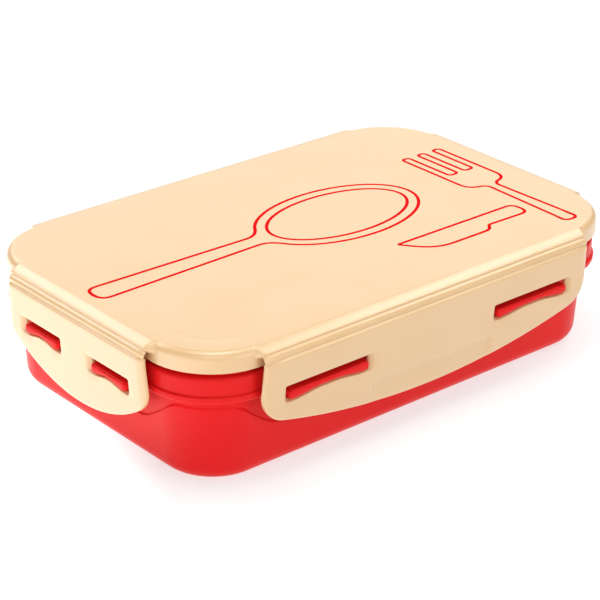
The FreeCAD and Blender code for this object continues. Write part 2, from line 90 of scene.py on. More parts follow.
# the hinge turn, an arc that the shoulder, the web and the flap share, and the flap's lean below it
FLAP_REACH = 4.9
FLAP_THICKNESS = 2.4
FLAP_LEAN = 4.0
SHOULDER_INSET = 2.0
TURN_RADIUS = FLAP_REACH + SHOULDER_INSET
TURN_INNER = TURN_RADIUS - FLAP_THICKNESS
TURN_HEIGHT = LID_TOP - TURN_RADIUS
HINGE_LOW = 14.0
HINGE_HIGH = 43.0
LEAN_SINE = math.sin(math.radians(FLAP_LEAN))
LEAN_COSINE = math.cos(math.radians(FLAP_LEAN))

FLAP_HALF = {"long": FLAP_BOX["long"][1].x, "short": FLAP_BOX["short"][1].y}

# each side: its kind of flap, how far its rim lies from the middle, and its turn from the front
SIDES = {
    "front": ("long", HALF_Y, 0),
    "right": ("short", HALF_X, 90),
    "back": ("long", HALF_Y, 180),
    "left": ("short", HALF_X, 270),
}


def blend(start, end, share):
    """A share of the way from start to end."""
    return start + (end - start) * share


def smooth(share):
    """0 to 1 with level ends."""
    share = min(max(share, 0.0), 1.0)
    return share * share * (3 - 2 * share)


def arc_points(centre, radii, start, end, count):
    """Points on an ellipse's arc, from one angle to another."""
    points = []
    for step in range(count + 1):
        turn = math.radians(blend(start, end, step / count))
        points.append((centre[0] + radii[0] * math.cos(turn), centre[1] + radii[1] * math.sin(turn)))
    return points


# ---------------------------------------------------------------- meshes


def shade(mesh):
    """Smooth shading, but for the sharp edges."""
    mesh.shade_smooth()
    mesh.set_sharp_from_angle(angle=math.radians(SHARP_ANGLE))


def make_object(name, build, material, body, node):
    """A mesh object from a builder's points and faces."""
    mesh = bpy.data.meshes.new(name)
    mesh.from_pydata([Vector(point) * MM for point in build.points], [], build.faces)
    work = bmesh.new()
    work.from_mesh(mesh)
    bmesh.ops.remove_doubles(work, verts=work.verts, dist=WELD)
    bmesh.ops.dissolve_degenerate(work, dist=WELD, edges=work.edges)
    bmesh.ops.recalc_face_normals(work, faces=work.faces)
    work.to_mesh(mesh)
    work.free()
    shade(mesh)
    mesh.materials.append(material)
    piece = bpy.data.objects.new(name, mesh)
    bpy.context.scene.collection.objects.link(piece)
    if body:
        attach(piece, body)
    if node:
        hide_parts(node)
    return piece


def strips(rows, closed):
    """Faces that join each row of point numbers to the next one."""
    faces = []
    for upper, lower in zip(rows, rows[1:]):
        count = len(upper)
        for n in range(count if closed else count - 1):
            m = (n + 1) % count
            faces.append((upper[n], upper[m], lower[m], lower[n]))
    return faces


class Builder:
    """Collects points and faces."""

    def __init__(self):
        self.points = []
        self.faces = []

    def row(self, points):
        first = len(self.points)
        self.points.extend(points)
        return list(range(first, len(self.points)))

    def loft(self, rows, closed):
        """Rows of points joined one after another, each closed into a ring or left open."""
        numbered = [self.row(points) for points in rows]
        self.faces.extend(strips(numbered, closed))
        return numbered

    def solid(self, rows):
        """Closed rows joined one after another, with a face over the first and the last."""
        numbered = self.loft(rows, closed=True)
        self.faces.append(tuple(numbered[0]))
        self.faces.append(tuple(reversed(numbered[-1])))


# ---------------------------------------------------------------- plan outline

NOTCH_START = -1.4
NOTCH_RUN = 2.3
# where the sections stand: turns round half a corner, and distances from a straight side's ends
EARLY_TURNS = [0, 1.5, 3, 4, *[4.5 + 0.5 * n for n in range(20)], 15, 17.5, 20, 23, 26, 30, 34, 38, 42]
CORNER_TURNS = [*EARLY_TURNS, 45, *[90 - turn for turn in reversed(EARLY_TURNS)]]
EDGE_STEPS = [2 * n for n in range(1, 10)]
EDGE_RUN = EDGE_STEPS[-1]
MIDDLE_COUNT = 8


class Station:
    """A place on the rim outline, with the straight side that it belongs to."""

    def __init__(self, base, normal_angle, side_angle):
        self.base = base
        self.normal = direction(normal_angle)
        self.side_normal = direction(side_angle)
        self.prefix = "long" if side_angle in (90, 270) else "short"
        along = Vector((-self.side_normal.y, self.side_normal.x))
        distance = base.dot(along)
        half = HALF_Y if self.prefix == "long" else HALF_X
        self.side_base = self.side_normal * half + along * distance
        self.along = abs(distance)
        past = self.along - FLAP_HALF[self.prefix]
        self.corner_share = smooth((past - NOTCH_START) / NOTCH_RUN)

    def on_rim(self, reach, height):
        spot = self.base + self.normal * reach
        return (spot.x, spot.y, height)

    def on_side(self, reach, height):
        spot = self.side_base + self.side_normal * reach
        return (spot.x, spot.y, height)


def direction(degrees):
    """A unit vector at an angle from the first axis."""
    turn = math.radians(degrees)
    return Vector((math.cos(turn), math.sin(turn)))


def rim_stations():
    """Stations all round the rim, close together where the shoulders end."""
    flat_x = HALF_X - CORNER
    flat_y = HALF_Y - CORNER
    stations = []
    for sign_x, sign_y, start in ((1, -1, 270), (1, 1, 0), (-1, 1, 90), (-1, -1, 180)):
        centre = Vector((sign_x * flat_x, sign_y * flat_y))
        following = (start + 90) % 360
        for turn in CORNER_TURNS:
            side = start if turn <= 45 else following
            stations.append(Station(centre + direction(start + turn) * CORNER, start + turn, side))
        run = 2 * (flat_y if start in (270, 90) else flat_x)
        first = centre + direction(following) * CORNER
        middle = [EDGE_RUN + (run - 2 * EDGE_RUN) * n / MIDDLE_COUNT for n in range(1, MIDDLE_COUNT)]
        for distance in EDGE_STEPS + middle + [run - step for step in reversed(EDGE_STEPS)]:
            stations.append(Station(first + direction(following + 90) * distance, following, following))
    return stations


STATIONS = rim_stations()

# ---------------------------------------------------------------- lid

PANEL_INSET = 13.0
ROLL = 3.0
CROWN_INSET = 10.0
CROWN_DROP = 0.22
RIM_EDGE = 0.6
SKIRT = 2.0
SKIRT_ROOT = 1.2
PLUG_OUTER = 6.2
PLUG_INNER = 8.2
PLUG_EDGE = 0.6
VALLEY_DEPTH = 0.12
VALLEY_SHARE = 0.55
FLAT_COUNT = 14

# a shoulder's section: angles round the hinge turn, and the small lip where it ends above the web
SHOULDER_ANGLES = [90 - 3 * n for n in range(13)] + [52, 50, 48.5, 47, 46, 45, 44, HINGE_HIGH]
SINK_FADE = 30
UNDERSIDE_ANGLE = 59.1
LIP_IN = 0.16
LIP_DOWN = 0.2
LIP_SPACING = 0.08

# the outer surface round a hinge: fine groove above, wide groove below, and a crowned strip between
UPPER_GROOVE = {"angle": 40.0, "width": 7.0, "depth": 0.46}
LOWER_GROOVE = {"angle": 16.0, "width": 9.5, "depth": 0.64}


def groove_radius(angle):
    """The radius of the surface about the hinge turn's centre, at an angle above the horizontal."""
    sink = 0.0
    for groove in (UPPER_GROOVE, LOWER_GROOVE):
        share = abs(angle - groove["angle"]) / groove["width"]
        sink += groove["depth"] * (1 - smooth(share))
    return TURN_RADIUS - sink


def crown(inset):
    """How far the lid's top has dropped near its edge."""
    share = max(1 - inset / CROWN_INSET, 0.0)
    return CROWN_DROP * min(share, 1.0) ** 2


def lid_profiles():
    """The lid's outer section at a shoulder and at a corner, point for point, and its shared inside."""
    shoulder_turn = (-SHOULDER_INSET, TURN_HEIGHT)
    turn = []
    for angle in SHOULDER_ANGLES:
        sink = SURFACE_SINK + crown(SHOULDER_INSET - TURN_RADIUS * math.cos(math.radians(angle)))
        radius = groove_radius(angle) - sink * smooth((angle - HINGE_HIGH) / SINK_FADE)
        turn.append(tuple(Vector(shoulder_turn) + direction(angle) * radius))
    under = arc_points(shoulder_turn, (TURN_INNER, TURN_INNER), HINGE_HIGH, UNDERSIDE_ANGLE, 2)
    lip = [(turn[-1][0] - LIP_IN, turn[-1][1] - LIP_DOWN), *under]
    low = LID_TOP - ROLL
    roll_rise = ROLL - SURFACE_SINK - crown(ROLL)
    roll = arc_points((-ROLL, low), (ROLL, roll_rise), 90, 0, len(turn) - 1)
    wall = RIM_BOTTOM + RIM_EDGE
    shoulder = []
    corner = []
    for n in range(FLAT_COUNT):
        share = n / FLAT_COUNT
        inset = blend(PANEL_INSET, SHOULDER_INSET, share)
        shoulder.append((-inset, SURFACE - crown(inset)))
        reach = blend(-PANEL_INSET, -ROLL, share)
        valley = VALLEY_DEPTH * math.sin(math.pi * min(share / VALLEY_SHARE, 1.0)) ** 2
        corner.append((reach, SURFACE - valley - crown(-reach)))
    shoulder += turn + lip
    corner += roll + [(0.0, blend(low, wall, LIP_SPACING * (n + 1))) for n in range(len(lip))]
    drop = [(0.0, blend(low, wall, share)) for share in (0.5, 0.75)]
    edge = arc_points((-RIM_EDGE, wall), (RIM_EDGE, RIM_EDGE), 0, -90, 4)
    root_turn = (-SKIRT - SKIRT_ROOT, PLATE_BOTTOM - SKIRT_ROOT)
    root = arc_points(root_turn, (SKIRT_ROOT, SKIRT_ROOT), 0, 90, 4)
    foot = PLUG_BOTTOM + PLUG_EDGE
    outer_foot = arc_points((-PLUG_OUTER - PLUG_EDGE, foot), (PLUG_EDGE, PLUG_EDGE), 0, -90, 3)
    inner_foot = arc_points((-PLUG_INNER + PLUG_EDGE, foot), (PLUG_EDGE, PLUG_EDGE), -90, -180, 3)
    inside = drop + edge + [(-SKIRT, RIM_BOTTOM)] + root + [(-PLUG_OUTER, PLATE_BOTTOM)]
    inside += outer_foot + inner_foot + [(-PLUG_INNER, PLATE_BOTTOM), (-PANEL_INSET, PLATE_BOTTOM)]
    return shoulder, corner, inside


def make_lid(material):
    """Panel, shallow valley and roll at the corners, shoulders that turn over, skirt and plug ring."""
    shoulder, corner, inside = lid_profiles()
    build = Builder()
    rows = []
    for at_shoulder, at_corner in zip(shoulder, corner):
        row = []
        for station in STATIONS:
            side = Vector(station.on_side(*at_shoulder))
            rim = Vector(station.on_rim(*at_corner))
            row.append(side.lerp(rim, station.corner_share))
        rows.append(row)
    for point in inside:
        rows.append([station.on_rim(*point) for station in STATIONS])
    build.solid(rows)
    make_object("lid_shell", build, material, "lid", "lid")


# ---------------------------------------------------------------- flaps and hinges


def side_place(side, along, reach, height):
    """A point in a side's own frame, where it faces -Y, turned to its place on the box."""
    _, half, turn = SIDES[side]
    return Matrix.Rotation(math.radians(turn), 3, "Z") @ Vector((along, -half - reach, height))


TOP_NARROWING = 0.7
NARROW_FROM = 30.0
EDGE_ROLL_WIDTH = 3.3
EDGE_ROLL_DEPTH = 1.9
BOTTOM_ROLL_SHARE = 0.45
BACK_ROUND = 0.3
FLAP_TOP = TURN_HEIGHT + TURN_RADIUS * math.radians(HINGE_LOW + FLAP_LEAN)
FLAP_SHAPE = {
    "long": {"bottom": 14.6, "curve": 277.0, "corner": 12.0, "grip": 1.1},
    "short": {"bottom": 14.4, "curve": 62.0, "corner": 9.5, "grip": 0.0},
}
GRIP_HALF = 30.0
GRIP_TOP = 24.4
GRIP_FOOT = 13.5
GRIP_END_RUN = 2.4
GRIP_TOP_RUN = 1.3
# spacing of the points along a flap's edge, and how soon the edge's roll narrows towards the bottom
SIDE_SPACING = 0.8
CORNER_COUNT = 17
BOW_SPACING = 1.3
BOTTOM_BLEND = 1.4
ROLL_COUNT = 8
BACK_BEND = 0.09


def half_width(prefix, height):
    """A flap's half width: it narrows a little towards the hinge."""
    share = smooth((height - NARROW_FROM) / (FLAP_TOP - NARROW_FROM))
    return FLAP_HALF[prefix] - TOP_NARROWING * share


def flap_path(prefix):
    """Points and outward normals along a flap's left side, lower edge and right side."""
    shape = FLAP_SHAPE[prefix]
    half, bottom = FLAP_HALF[prefix], shape["bottom"]
    big, small = shape["curve"], shape["corner"]
    big_z = bottom + big
    corner_z = big_z - math.sqrt((big - small) ** 2 - (half - small) ** 2)
    spread = math.degrees(math.asin((half - small) / (big - small)))
    left = []
    count = int((FLAP_TOP - corner_z) / SIDE_SPACING)
    for n in range(count):
        height = blend(FLAP_TOP, corner_z, n / count)
        left.append((Vector((-half_width(prefix, height), height)), Vector((-1, 0))))
    for n in range(CORNER_COUNT):
        normal = direction(blend(180, 270 - spread, n / CORNER_COUNT))
        left.append((Vector((-half + small, corner_z)) + normal * small, normal))
    bow = []
    count = int(half / BOW_SPACING)
    for n in range(count + 1):
        normal = direction(blend(270 - spread, 270 + spread, n / count))
        bow.append((Vector((0, big_z)) + normal * big, normal))
    right = [(mirrored(spot), mirrored(normal)) for spot, normal in reversed(left)]
    return left + bow + right


def mirrored(spot):
    """The same place on a flap's other side."""
    return Vector((-spot.x, spot.y))


def grip_sink(prefix, along, height):
    """How deep the finger grip's scoop lies under the flap's face."""
    slope = (height - GRIP_FOOT) / (GRIP_TOP - GRIP_FOOT)
    ledge = smooth((GRIP_TOP - height) / GRIP_TOP_RUN)
    end = smooth((GRIP_HALF - abs(along)) / GRIP_END_RUN)
    return FLAP_SHAPE[prefix]["grip"] * max(slope, 0.0) * ledge * end


def on_flap(side, along, height, depth):
    """A place on a flap: along it, up its leaning face and over the hinge turn, and below its face."""
    prefix = SIDES[side][0]
    outer_share = 1 - depth / FLAP_THICKNESS
    if height > TURN_HEIGHT:
        turn = (height - TURN_HEIGHT) / TURN_RADIUS - math.radians(FLAP_LEAN)
        radius = blend(TURN_INNER, groove_radius(math.degrees(turn)), outer_share)
        reach = radius * math.cos(turn) - SHOULDER_INSET
        return side_place(side, along, reach, TURN_HEIGHT + radius * math.sin(turn))
    radius = TURN_RADIUS - depth - grip_sink(prefix, along, height) * outer_share
    drop = height - TURN_HEIGHT
    reach = radius * LEAN_COSINE + drop * LEAN_SINE - SHOULDER_INSET
    return side_place(side, along, reach, TURN_HEIGHT - radius * LEAN_SINE + drop * LEAN_COSINE)


# how far a tab's underside arches up, the level run at its ends, and the share of it that slopes
TAB_WAIST = 1.25
WAIST_END = 1.5
WAIST_SLOPE = 0.75
SLOT_LOWER_ROUND = 0.6
SLOT_LOWER_COUNT = 8


def tab_waist(along, half):
    """How far a tab's underside arches up, at a distance from the tab's middle."""
    return TAB_WAIST * smooth((half - WAIST_END - abs(along)) / (half * WAIST_SLOPE))


def slot_loop(centre, half_sizes, radius, tab_half):
    """A rectangle with rounded corners, whose lower edge follows the tab's underside."""
    points = []
    for sign_x, sign_y, start in ((1, 1, 0), (-1, 1, 90), (-1, -1, 180), (1, -1, 270)):
        round_off = radius if sign_y > 0 else radius + SLOT_LOWER_ROUND
        run, rise = half_sizes[0] - round_off, half_sizes[1] - round_off
        middle = (centre[0] + sign_x * run, centre[1] + sign_y * rise)
        points += arc_points(middle, (round_off, round_off), start, start + 90, 5)
        if start == 180:
            for n in range(1, 2 * SLOT_LOWER_COUNT):
                along = run * (n / SLOT_LOWER_COUNT - 1)
                arch = tab_waist(along, tab_half)
                points.append((centre[0] + along, centre[1] - half_sizes[1] + arch))
    return points


def inside_loop(loop, spot):
    """Whether a point lies inside a closed loop."""
    found = False
    x, y = spot
    for (x0, y0), (x1, y1) in zip(loop, loop[1:] + loop[:1]):
        if (y0 > y) != (y1 > y) and x < (x1 - x0) * (y - y0) / (y1 - y0) + x0:
            found = not found
    return found


# an extra point stays out when its squared distance to a loop's point is under this, in mm2
CLEAR_SQUARE = 0.16
FILL_WELD = 1e-5


def fill(outer, holes, extra):
    """Triangles that fill a loop round its holes, through the extra points."""

    def inside(spot):
        return inside_loop(outer, spot) and not any(inside_loop(hole, spot) for hole in holes)

    def clear(spot):
        squares = ((spot[0] - x) ** 2 + (spot[1] - y) ** 2 for x, y in points[: len(edges)])
        return min(squares) > CLEAR_SQUARE

    points = []
    edges = []
    for loop in [outer, *holes]:
        first = len(points)
        points += loop
        edges += [(first + n, first + (n + 1) % len(loop)) for n in range(len(loop))]
    for spot in extra:
        if inside(spot) and clear(spot):
            points.append(spot)
    flat = [Vector(spot) for spot in points]
    spots, _, triangles, *_ = delaunay_2d_cdt(flat, edges, [], 0, FILL_WELD, False)
    kept = []
    for triangle in triangles:
        middle = sum((spots[n] for n in triangle), Vector((0, 0))) / 3
        if inside(middle):
            kept.append(tuple(triangle))
    return spots, kept


# each ring of a slot: margins past its ends and past its top and bottom, corner radius, and depth
SLOT_RINGS = [
    (1.75, 0.5, 0.9, 0.0),
    (1.62, 0.38, 0.8, 0.05),
    (1.42, 0.28, 0.8, 0.2),
    (0.1, 0.05, 0.9, 1.5),
    (0.0, 0.0, 1.0, 1.7),
    (0.0, 0.0, 1.0, 2.25),
    (0.15, 0.1, 1.1, 2.4),
]
SLOT_BOTTOM = 30.35
SLOT_TOP = 36.3
SLOT_END_GAP = 0.5


def slot_centre(prefix):
    """The middle of a slot along the flap, and its half length."""
    low, high = TAB_BOX[prefix]
    if prefix == "long":
        return (low.x + high.x) / 2, (high.x - low.x) / 2 + SLOT_END_GAP
    return (low.y + high.y) / 2, (high.y - low.y) / 2 + SLOT_END_GAP


def edge_rings(path):
    """Loops round a flap's edge, from its face over the rolled edge to its back."""
    rings = []
    for step in range(ROLL_COUNT + 1):
        turn = math.radians(90 - 90 * step / ROLL_COUNT)
        ring = []
        for spot, normal in path:
            share = blend(1.0, BOTTOM_ROLL_SHARE, smooth(-normal.y * BOTTOM_BLEND))
            inset = EDGE_ROLL_WIDTH * share * (1 - math.cos(turn))
            ring.append((spot - normal * inset, EDGE_ROLL_DEPTH * share * (1 - math.sin(turn))))
        rings.append(ring)
    for inset, rise in ((0.0, BACK_ROUND), (BACK_BEND, BACK_BEND), (BACK_ROUND, 0.0)):
        rings.append([(spot - normal * inset, FLAP_THICKNESS - rise) for spot, normal in path])
    return rings


# the points inside a flap's face: rows over the hinge turn, columns along it, and heights below
TOP_ROWS = 12
TOP_ROW_FIRST = 0.5
TOP_ROW_LAST = 0.42
COLUMN_COUNT = 24
COLUMN_GAP = 0.4
FACE_HEIGHTS = range(18, 45, 4)


def make_flap(side, material):
    """A locking flap: soft outer edge, two dished slots, and a finger scoop on the long ones."""
    prefix = SIDES[side][0]
    build = Builder()
    name = f"flap_{side}"

    def placed(loop):
        return [on_flap(side, spot[0], spot[1], depth) for spot, depth in loop]

    rings = edge_rings(flap_path(prefix))
    build.loft([placed(loop) for loop in rings], closed=False)

    centre, half = slot_centre(prefix)
    middle = (SLOT_BOTTOM + SLOT_TOP) / 2
    fronts, backs = [], []
    for end in (-1, 1):
        loops = []
        for end_margin, margin, radius, depth in SLOT_RINGS:
            size = (half + end_margin, (SLOT_TOP - SLOT_BOTTOM) / 2 + margin)
            loop = slot_loop((centre * end, middle), size, radius, half - SLOT_END_GAP)
            loops.append([(spot, depth) for spot in loop])
        build.loft([placed(loop) for loop in loops], closed=True)
        fronts.append([spot for spot, _ in loops[0]])
        backs.append([spot for spot, _ in loops[-1]])

    top_half = half_width(prefix, FLAP_TOP)
    lowest, highest = TURN_HEIGHT - TOP_ROW_FIRST, FLAP_TOP - TOP_ROW_LAST
    turn_rows = [blend(lowest, highest, n / TOP_ROWS) for n in range(TOP_ROWS + 1)]
    columns = [top_half * (n / COLUMN_COUNT - 1) for n in range(1, 2 * COLUMN_COUNT)]
    extra = [(x, h) for h in turn_rows for x in columns]
    extra += [(x, h) for x in columns for h in FACE_HEIGHTS]
    if FLAP_SHAPE[prefix]["grip"]:
        extra += grip_points()
    for loop, holes, depth in ((rings[0], fronts, 0.0), (rings[-1], backs, FLAP_THICKNESS)):
        border = [tuple(spot) for spot, _ in loop]
        reach = border[-1][0] - COLUMN_GAP
        border += [(x, FLAP_TOP) for x in reversed(columns) if abs(x) < reach]
        flat, triangles = fill(border, holes, extra)
        level = [(spot, depth) for spot in flat]
        first = len(build.points)
        build.points.extend(placed(level))
        build.faces.extend(tuple(first + n for n in triangle) for triangle in triangles)

    close_holes(make_object(f"flap_shell_{side}", build, material, name, name))


GRIP_SPACING = 1.5
GRIP_ROW = 0.8
GRIP_MARGIN = (0.6, 0.5)


def grip_points():
    """Points close together round the ends and the ledge of the scoop."""
    across = [GRIP_SPACING * n for n in range(int(GRIP_HALF / GRIP_SPACING))]
    across += [GRIP_HALF - GRIP_END_RUN * n / 5 for n in range(6)]
    across.append(GRIP_HALF + GRIP_MARGIN[0])
    up = [GRIP_FOOT + GRIP_ROW * n for n in range(12)]
    up += [GRIP_TOP - GRIP_TOP_RUN * n / 4 for n in range(5)]
    up.append(GRIP_TOP + GRIP_MARGIN[1])
    return [(sign * x, h) for sign in (-1, 1) for x in across for h in up]


def close_holes(piece):
    """Fills the open end of a mesh."""
    work = bmesh.new()
    work.from_mesh(piece.data)
    rim = [edge for edge in work.edges if edge.is_boundary]
    if rim:
        bmesh.ops.edgeloop_fill(work, edges=rim)
    bmesh.ops.recalc_face_normals(work, faces=work.faces)
    work.to_mesh(piece.data)
    work.free()
    shade(piece.data)


WEB_INNER = 5.6
WEB_LEAST = 0.1
WEB_END_ROLL = 2.6
WEB_END_DROP = 1.1
WEB_OUTER_COUNT = 29
WEB_INNER_COUNT = 4
WEB_END_COUNT = 8
WEB_SPAN_COUNT = 16


def web_section(drop):
    """The strip's section, with its outer side lowered by a drop."""
    least = WEB_INNER + WEB_LEAST
    down = [blend(HINGE_HIGH, HINGE_LOW, n / WEB_OUTER_COUNT) for n in range(WEB_OUTER_COUNT + 1)]
    back_up = [blend(HINGE_LOW, HINGE_HIGH, n / WEB_INNER_COUNT) for n in range(WEB_INNER_COUNT + 1)]
    outer = [(angle, max(groove_radius(angle) - drop, least)) for angle in down]
    return outer + [(angle, WEB_INNER) for angle in back_up]


def on_turn(side, along, angle, radius):
    """A place about a side's hinge turn."""
    spot = direction(angle) * radius
    return side_place(side, along, spot.x - SHOULDER_INSET, TURN_HEIGHT + spot.y)


def make_web(side, material):
    """The living hinge of one side: a crowned strip between a fine groove and a wider one."""
    prefix = SIDES[side][0]
    half = half_width(prefix, FLAP_TOP)
    build = Builder()
    ends = [half - WEB_END_ROLL * n / WEB_END_COUNT for n in range(WEB_END_COUNT + 1)]
    middle = [(half - WEB_END_ROLL) * n / WEB_SPAN_COUNT for n in range(WEB_SPAN_COUNT)]
    right = sorted(middle + ends)
    rows = []
    for along in [-spot for spot in reversed(right[1:])] + right:
        share = max(abs(along) - half + WEB_END_ROLL, 0.0) / WEB_END_ROLL
        drop = WEB_END_DROP * (1 - math.sqrt(max(1 - share * share, 0.0)))
        rows.append([on_turn(side, along, angle, radius) for angle, radius in web_section(drop)])
    build.solid(rows)
    piece = make_object(f"hinge_{side}", build, material, None, f"hinge_web_{side}")
    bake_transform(piece)


# ---------------------------------------------------------------- container

WALL_ANGLE = 3.3
WALL_DRAFT = math.tan(math.radians(WALL_ANGLE))
BASE_INSET = 6.0
BASE_ROUND = 6.0
FOOT_INSET = 17.0
FOOT_RECESS = 0.6
FLOOR = 2.4
FLOOR_ROUND = 4.0
MOUTH_INSET = 5.3
LIP_INSET = 3.2
LIP_ROUND = 0.7
COLLAR_TOP = 42.2
COLLAR_INSET = 1.0
COLLAR_ROUND = 1.2
COLLAR_HEIGHTS = (40, 38, 36.5)
BEAD_TOP = 35.3
BEAD_ROUND = 0.5
BEAD_FACE = 33.9
BEAD_CURVE = (1.6, 1.5)
# the collar's foot behind the bead: how far in from the collar, and how high over the bead
COLLAR_FOOT = ((0.0, 0.35), (0.12, 0.2), (0.1, 0.04))
# the undercut below the bead: where it starts, shares of the way in with their heights, and its foot
UNDERCUT_START = 1.3
UNDERCUT_BEND = ((0.35, 32.2), (0.72, 31.75))
UNDERCUT_EASE = 0.15
UNDERCUT = 31.2
# the foot's inner edge: how far in from the foot, and the height
FOOT_EDGE = ((-0.4, 0.0), (-0.1, 0.1), (0.0, 0.35), (0.3, FOOT_RECESS))
INNER_HEIGHTS = (14, 24, 34, 41)
# where points stand on the wall above the step and below it, as shares of the way down
UPPER_SHARES = (0.0, 0.35, 0.7, 1.0)
LOWER_SHARES = (0.2, 0.4, 0.6, 0.8)
# the step across the wall: its lowest and highest place, where it rises, and how far it stands out
WAVE_LOW = 18.0
WAVE_HIGH = 29.2
WAVE_START = -15.0
WAVE_RUN = 23.0
WAVE_STEP = 0.6
WAVE_HEAD = 0.35
WAVE_FOOT = 1.1
# the step's own section: heights from its middle, and the share of the step reached there
WAVE_SECTION = ((0.1, 0.05), (-0.05, 0.2), (-0.35, 0.6), (-0.6, 0.88), (-0.8, 0.97), (-WAVE_FOOT, 1.0))


def wall_inset(height):
    """How far in the outer wall lies at a height."""
    return BASE_INSET - height * WALL_DRAFT


def container_inside():
    """The section from the floor up the inner wall and over the lip."""
    wall_foot = MOUTH_INSET + (LIP_TOP - FLOOR) * WALL_DRAFT
    turn = (wall_foot + FLOOR_ROUND, FLOOR + FLOOR_ROUND)
    points = arc_points(turn, (FLOOR_ROUND, FLOOR_ROUND), 270, 183, 6)
    points += [(MOUTH_INSET + (LIP_TOP - height) * WALL_DRAFT, height) for height in INNER_HEIGHTS]
    inner = (MOUTH_INSET - LIP_ROUND, LIP_TOP - LIP_ROUND)
    outer = (LIP_INSET + LIP_ROUND, LIP_TOP - LIP_ROUND)
    points += arc_points(inner, (LIP_ROUND, LIP_ROUND), 0, 90, 3)
    points += arc_points(outer, (LIP_ROUND, LIP_ROUND), 90, 180, 3)
    return points


def container_outside(wave):
    """The section from the collar down to the foot, with the wall's shallow step at a height."""
    collar = (COLLAR_INSET + COLLAR_ROUND, COLLAR_TOP - COLLAR_ROUND)
    points = [(LIP_INSET, COLLAR_TOP + 0.1), (LIP_INSET - 0.2, COLLAR_TOP)]
    points += arc_points(collar, (COLLAR_ROUND, COLLAR_ROUND), 90, 180, 6)
    points += [(COLLAR_INSET, height) for height in COLLAR_HEIGHTS]
    points += [(COLLAR_INSET + inset, BEAD_TOP + rise) for inset, rise in COLLAR_FOOT]
    bead = (BEAD_INSET + BEAD_ROUND, BEAD_TOP - BEAD_ROUND)
    points += arc_points(bead, (BEAD_ROUND, BEAD_ROUND), 90, 180, 5)
    points += arc_points((BEAD_INSET + BEAD_CURVE[0], BEAD_FACE), BEAD_CURVE, 180, 250, 6)
    hollow = wall_inset(UNDERCUT) + WAVE_STEP
    points += [(blend(UNDERCUT_START, hollow, share), height) for share, height in UNDERCUT_BEND]
    points.append((hollow - UNDERCUT_EASE, UNDERCUT))
    for share in UPPER_SHARES:
        height = blend(UNDERCUT - 0.4, wave + WAVE_HEAD, share)
        points.append((wall_inset(height) + WAVE_STEP, height))
    for drop, out in WAVE_SECTION:
        height = wave + drop
        points.append((wall_inset(height) + WAVE_STEP * (1 - out), height))
    for share in LOWER_SHARES:
        height = blend(wave - WAVE_FOOT, BASE_ROUND, share)
        points.append((wall_inset(height), height))
    middle = (BASE_INSET + BASE_ROUND * (1 - WALL_DRAFT), BASE_ROUND)
    points += arc_points(middle, (BASE_ROUND, BASE_ROUND), 180 + WALL_ANGLE, 270, 10)
    points += [(FOOT_INSET + inset, height) for inset, height in FOOT_EDGE]
    return points


def make_container(material):
    """The tub: cavity, sealing lip, collar, soft bead, stepped wall and rounded foot."""
    rows = []
    for inset, height in container_inside():
        rows.append([station.on_rim(-inset, height) for station in STATIONS])
    sections = []
    for station in STATIONS:
        past = station.along - FLAP_HALF[station.prefix]
        wave = blend(WAVE_LOW, WAVE_HIGH, smooth((past - WAVE_START) / WAVE_RUN))
        sections.append([station.on_rim(-inset, height) for inset, height in container_outside(wave)])
    rows += [list(row) for row in zip(*sections)]
    build = Builder()
    build.solid(rows)
    make_object("tub", build, material, "container", "container")


# ---------------------------------------------------------------- snap tabs

TAB_END_ROUND = 1.5
TAB_NOSE_ROUND = 0.9
TAB_LEAST_ROUNDS = 2.2
TAB_BACK = -1.2
TAB_END_COUNT = 6
TAB_SPAN_COUNT = 12
# how much a tab's end narrows out from the box and from top to bottom, as shares of its end's round
TAB_END_IN = 0.7
TAB_END_THIN = 0.8


def tab_section(nose, bottom, top):
    """A tab's section across: back, rounded underside and nose, and the top."""
    radius = min(TAB_NOSE_ROUND, (top - bottom) / TAB_LEAST_ROUNDS)
    points = [(TAB_BACK, bottom), (blend(TAB_BACK, nose, 0.5), bottom)]
    points += arc_points((nose - radius, bottom + radius), (radius, radius), 270, 360, 6)
    points += arc_points((nose - radius, top - radius), (radius, radius), 0, 90, 6)
    points += [(blend(TAB_BACK, nose, 0.5), top), (TAB_BACK, top)]
    return points


def make_tab(side, number, material):
    """One snap tab: a bar with rounded ends, and an underside that arches up between them."""
    prefix = SIDES[side][0]
    low, high = TAB_BOX[prefix]
    first, last = (low.x, high.x) if prefix == "long" else (low.y, high.y)
    nose = high.x - HALF_X if prefix == "short" else -low.y - HALF_Y
    half = (last - first) / 2
    centre = (first + last) / 2 * (1 if number == 2 else -1)
    ends = [math.radians(90 * n / TAB_END_COUNT) for n in range(TAB_END_COUNT + 1)]
    right = [(half - TAB_END_ROUND) * n / TAB_SPAN_COUNT for n in range(TAB_SPAN_COUNT)]
    right += [half - TAB_END_ROUND + TAB_END_ROUND * math.sin(turn) for turn in ends]
    rows = []
    for along in [-spot for spot in reversed(right[1:])] + right:
        past = max(abs(along) - half + TAB_END_ROUND, 0.0) / TAB_END_ROUND
        shrink = TAB_END_ROUND * TAB_END_IN * (1 - math.sqrt(max(1 - past * past, 0.0)))
        thinner = shrink * TAB_END_THIN
        section = tab_section(nose - shrink, low.z + tab_waist(along, half) + thinner, high.z - thinner)
        rows.append([side_place(side, centre + along, reach, height) for reach, height in section])
    build = Builder()
    build.solid(rows)
    node = f"snap_tab_{side}_{number}"
    make_object(f"tab_{side}_{number}", build, material, "container", node)


# ---------------------------------------------------------------- the print on the lid

PRINT_DEPTH = 0.25
LINE = 1.3
BEND_COUNT = 6
